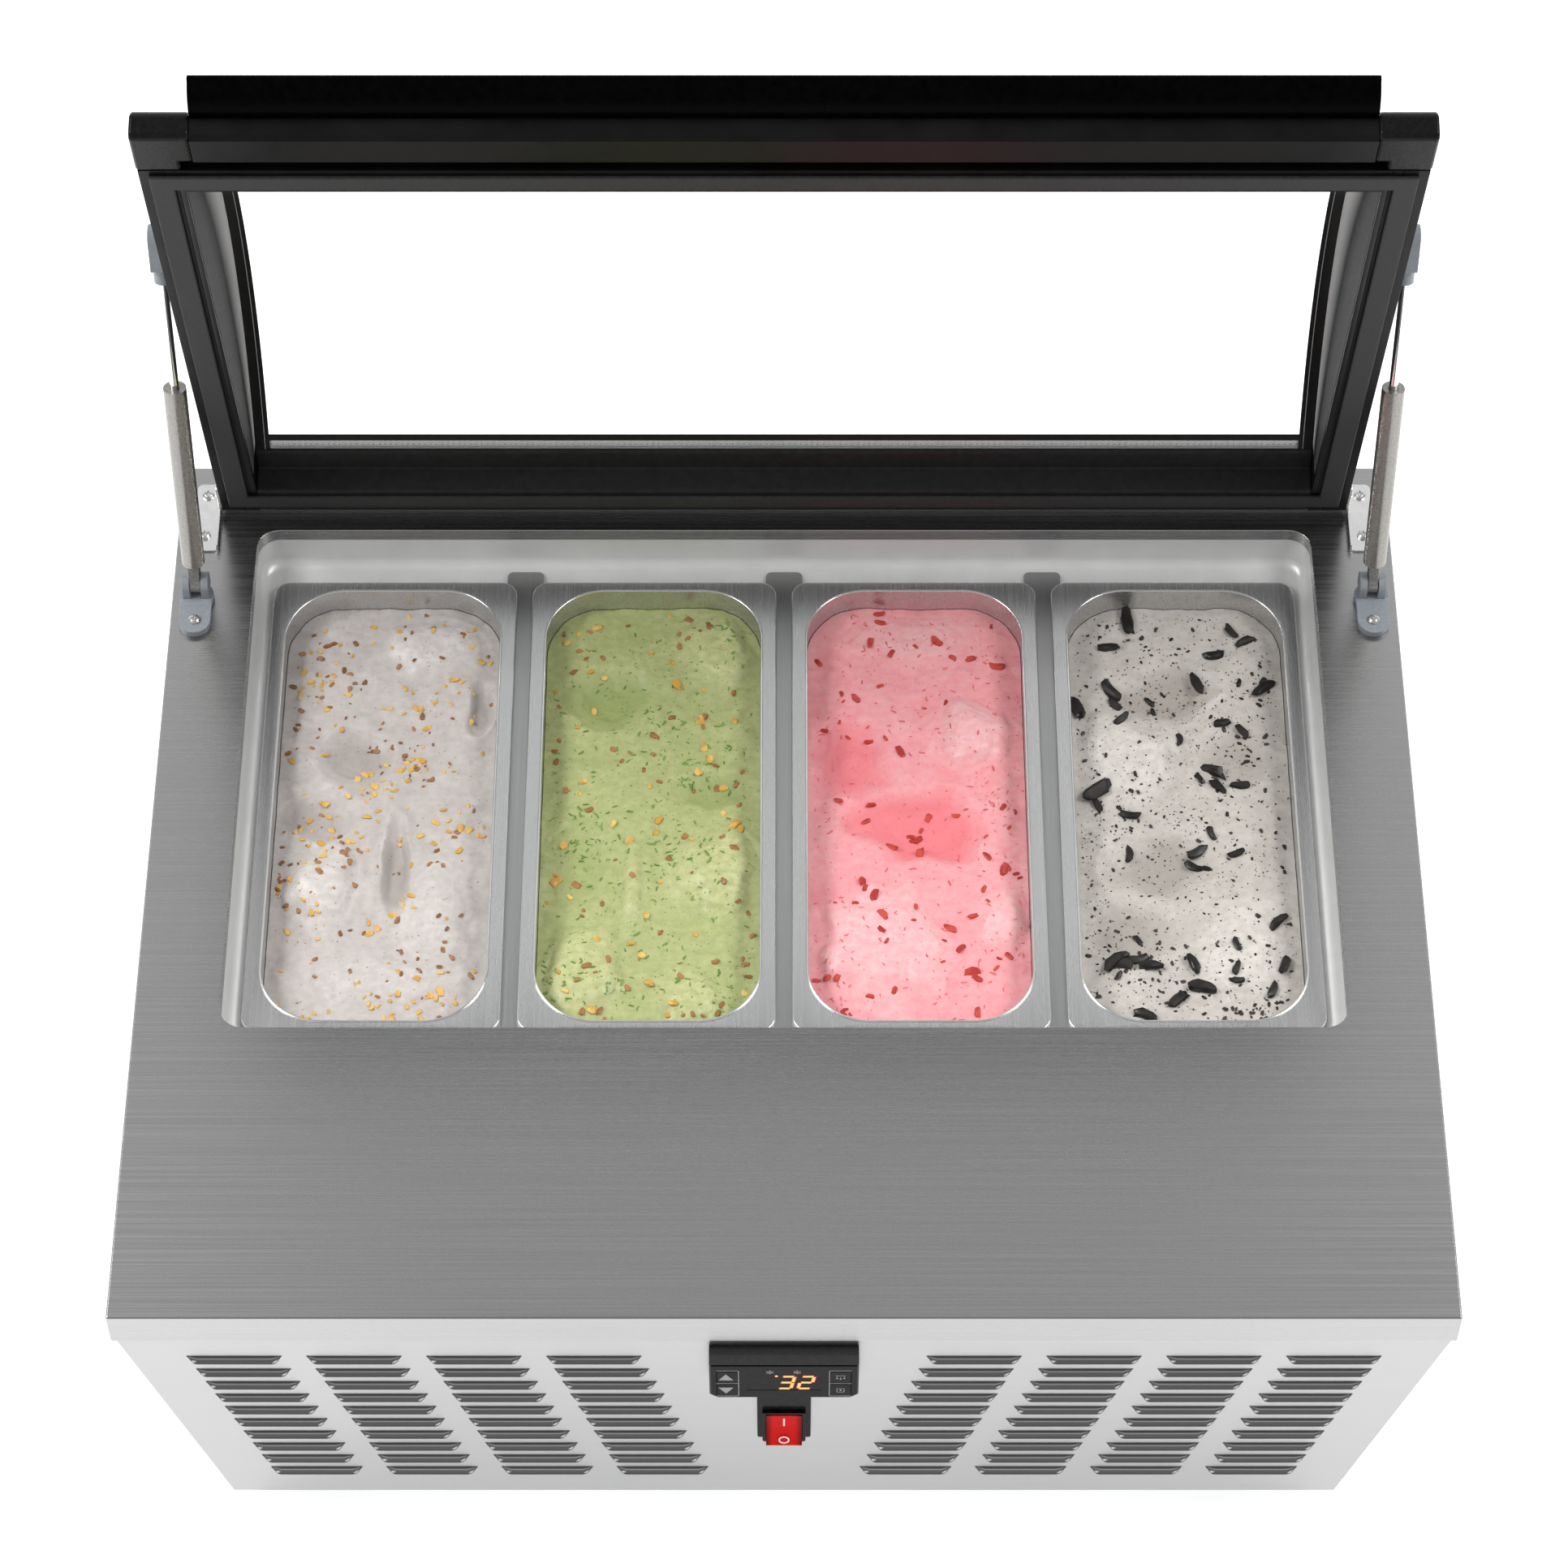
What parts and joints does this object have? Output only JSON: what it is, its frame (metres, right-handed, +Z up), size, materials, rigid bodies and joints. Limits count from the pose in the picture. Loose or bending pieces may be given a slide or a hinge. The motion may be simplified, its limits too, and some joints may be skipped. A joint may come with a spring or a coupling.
{
  "type": "ice cream display freezer",
  "caption": "Countertop ice cream display freezer: tapered steel cabinet with a well of lift-out pans, under a curved double-glazed lid on gas struts.",
  "frame": {"origin": "middle of the object's footprint on the counter, at the underside of the rubber feet, with the lid open", "axes": "+Z up, the front panel and its controls face -Y, +X to the right of a person who faces the front"},
  "size_m": [0.817, 0.673, 0.7674],
  "materials": {
    "brushed_steel": "satin",
    "liner_steel": "satin",
    "pan_steel": "satin",
    "bright_steel": "satin",
    "galvanised": "matte",
    "black_rubber": "matte",
    "foam": "matte",
    "copper": "satin",
    "black_enamel": "satin",
    "fin_aluminium": "satin",
    "spacer_aluminium": "satin",
    "black_plastic": "satin",
    "white_plastic": "satin",
    "gloss_black": "gloss",
    "red_plastic": "gloss",
    "circuit_board": "matte",
    "chrome": "polished",
    "grey_plastic": "satin",
    "strut_paint": "satin",
    "glass": "polished",
    "vanilla": "satin",
    "pistachio": "satin",
    "strawberry": "satin",
    "cookie": "satin"
  },
  "bodies": {
    "cabinet": {"top_plate": "brushed_steel", "front_panel": "brushed_steel", "side_panel_left": "brushed_steel", "side_panel_right": "brushed_steel", "back_panel": "brushed_steel", "base_tray": "galvanised", "rubber_feet": "black_rubber", "well_liner": "liner_steel", "foam_insulation": "foam", "evaporator_coil": "copper", "divider_bars": "pan_steel", "compressor": "black_enamel", "compressor_mounts": "galvanised", "condenser_coil": "fin_aluminium", "fan_shroud": "black_plastic", "fan_motor": "black_enamel", "filter_drier": "copper", "refrigerant_lines": "copper", "electrical_box": "black_plastic", "cord_gland": "black_plastic", "controller_housing": "black_plastic", "controller_fascia": "gloss_black", "controller_board": "circuit_board", "switch_bracket": "black_plastic", "switch_housing": "black_plastic", "hinge_brackets": "bright_steel", "hinge_pins": "chrome", "plate_screws": "chrome", "strut_feet": "grey_plastic"},
    "lid": {"strut_plates": "bright_steel", "lid_rear_rail": "gloss_black", "lid_side_rail_left": "gloss_black", "lid_side_rail_right": "gloss_black", "lid_front_rail": "gloss_black", "lid_end_caps": "gloss_black", "lid_handle": "gloss_black", "glass_outer": "glass", "glass_inner": "glass", "glass_spacer": "spacer_aluminium", "lid_gasket": "black_rubber"},
    "left_tube": {"strut_tube_left": "strut_paint"},
    "left_rod": {"strut_rod_left": "chrome", "strut_end_left": "grey_plastic"},
    "right_tube": {"strut_tube_right": "strut_paint"},
    "right_rod": {"strut_rod_right": "chrome", "strut_end_right": "grey_plastic"},
    "fan": {"fan_blade": "white_plastic"},
    "rocker": {"switch_rocker": "red_plastic"},
    "up_key": {"key_up": "black_plastic"},
    "down_key": {"key_down": "black_plastic"},
    "defrost_key": {"key_defrost": "black_plastic"},
    "set_key": {"key_set": "black_plastic"},
    "pan_1_lift": {"pan_1": "pan_steel", "ice_cream_1": "vanilla"},
    "pan_2_lift": {"pan_2": "pan_steel", "ice_cream_2": "pistachio"},
    "pan_3_lift": {"pan_3": "pan_steel", "ice_cream_3": "strawberry"},
    "pan_4_lift": {"pan_4": "pan_steel", "ice_cream_4": "cookie"}
  },
  "joints": [
    {"name": "lid_hinge", "type": "hinge", "parent": "cabinet", "child": "lid", "pos_m": [0, 0.299, 0.265], "axis": [-1, 0, 0], "range_deg": [-77, 0], "stiffness_Nm_per_rad": 3, "springref_deg": 68.75},
    {"name": "left_strut_swing", "type": "hinge", "parent": "cabinet", "child": "left_tube", "pos_m": [-0.3915, 0.222, 0.263], "axis": [-1, 0, 0], "range_deg": [-89, 0.5]},
    {"name": "left_strut_stroke", "type": "slide", "parent": "left_tube", "child": "left_rod", "axis": [0, 0.2083, 0.9781], "range_m": [-0.0832, 0.0005]},
    {"name": "right_strut_swing", "type": "hinge", "parent": "cabinet", "child": "right_tube", "pos_m": [0.3915, 0.222, 0.263], "axis": [-1, 0, 0], "range_deg": [-89, 0.5]},
    {"name": "right_strut_stroke", "type": "slide", "parent": "right_tube", "child": "right_rod", "axis": [0, 0.2083, 0.9781], "range_m": [-0.0832, 0.0005]},
    {"name": "fan_spin", "type": "hinge", "parent": "cabinet", "child": "fan", "pos_m": [0.165, -0.239, 0.104], "axis": [1, 0, 0], "continuous": true},
    {"name": "rocker_tip", "type": "hinge", "parent": "cabinet", "child": "rocker", "pos_m": [0, -0.324, 0.1167], "axis": [1, 0, 0], "range_deg": [0, 20.7]},
    {"name": "up_key_press", "type": "slide", "parent": "cabinet", "child": "up_key", "axis": [0, 1, 0], "range_m": [0, 0.0008], "stiffness_N_per_m": 400},
    {"name": "down_key_press", "type": "slide", "parent": "cabinet", "child": "down_key", "axis": [0, 1, 0], "range_m": [0, 0.0008], "stiffness_N_per_m": 400},
    {"name": "defrost_key_press", "type": "slide", "parent": "cabinet", "child": "defrost_key", "axis": [0, 1, 0], "range_m": [0, 0.0008], "stiffness_N_per_m": 400},
    {"name": "set_key_press", "type": "slide", "parent": "cabinet", "child": "set_key", "axis": [0, 1, 0], "range_m": [0, 0.0008], "stiffness_N_per_m": 400},
    {"name": "pan_1_lift_out", "type": "slide", "parent": "cabinet", "child": "pan_1_lift", "axis": [0, 0, 1], "range_m": [0, 0.16]},
    {"name": "pan_2_lift_out", "type": "slide", "parent": "cabinet", "child": "pan_2_lift", "axis": [0, 0, 1], "range_m": [0, 0.16]},
    {"name": "pan_3_lift_out", "type": "slide", "parent": "cabinet", "child": "pan_3_lift", "axis": [0, 0, 1], "range_m": [0, 0.16]},
    {"name": "pan_4_lift_out", "type": "slide", "parent": "cabinet", "child": "pan_4_lift", "axis": [0, 0, 1], "range_m": [0, 0.16]}
  ],
  "couplings": [
    {"joint": "left_strut_swing", "follows": "lid_hinge", "ratio": 1.1514},
    {"joint": "left_strut_stroke", "follows": "lid_hinge", "m_per_rad": 0.061601},
    {"joint": "right_strut_swing", "follows": "lid_hinge", "ratio": 1.1514},
    {"joint": "right_strut_stroke", "follows": "lid_hinge", "m_per_rad": 0.061601}
  ]
}
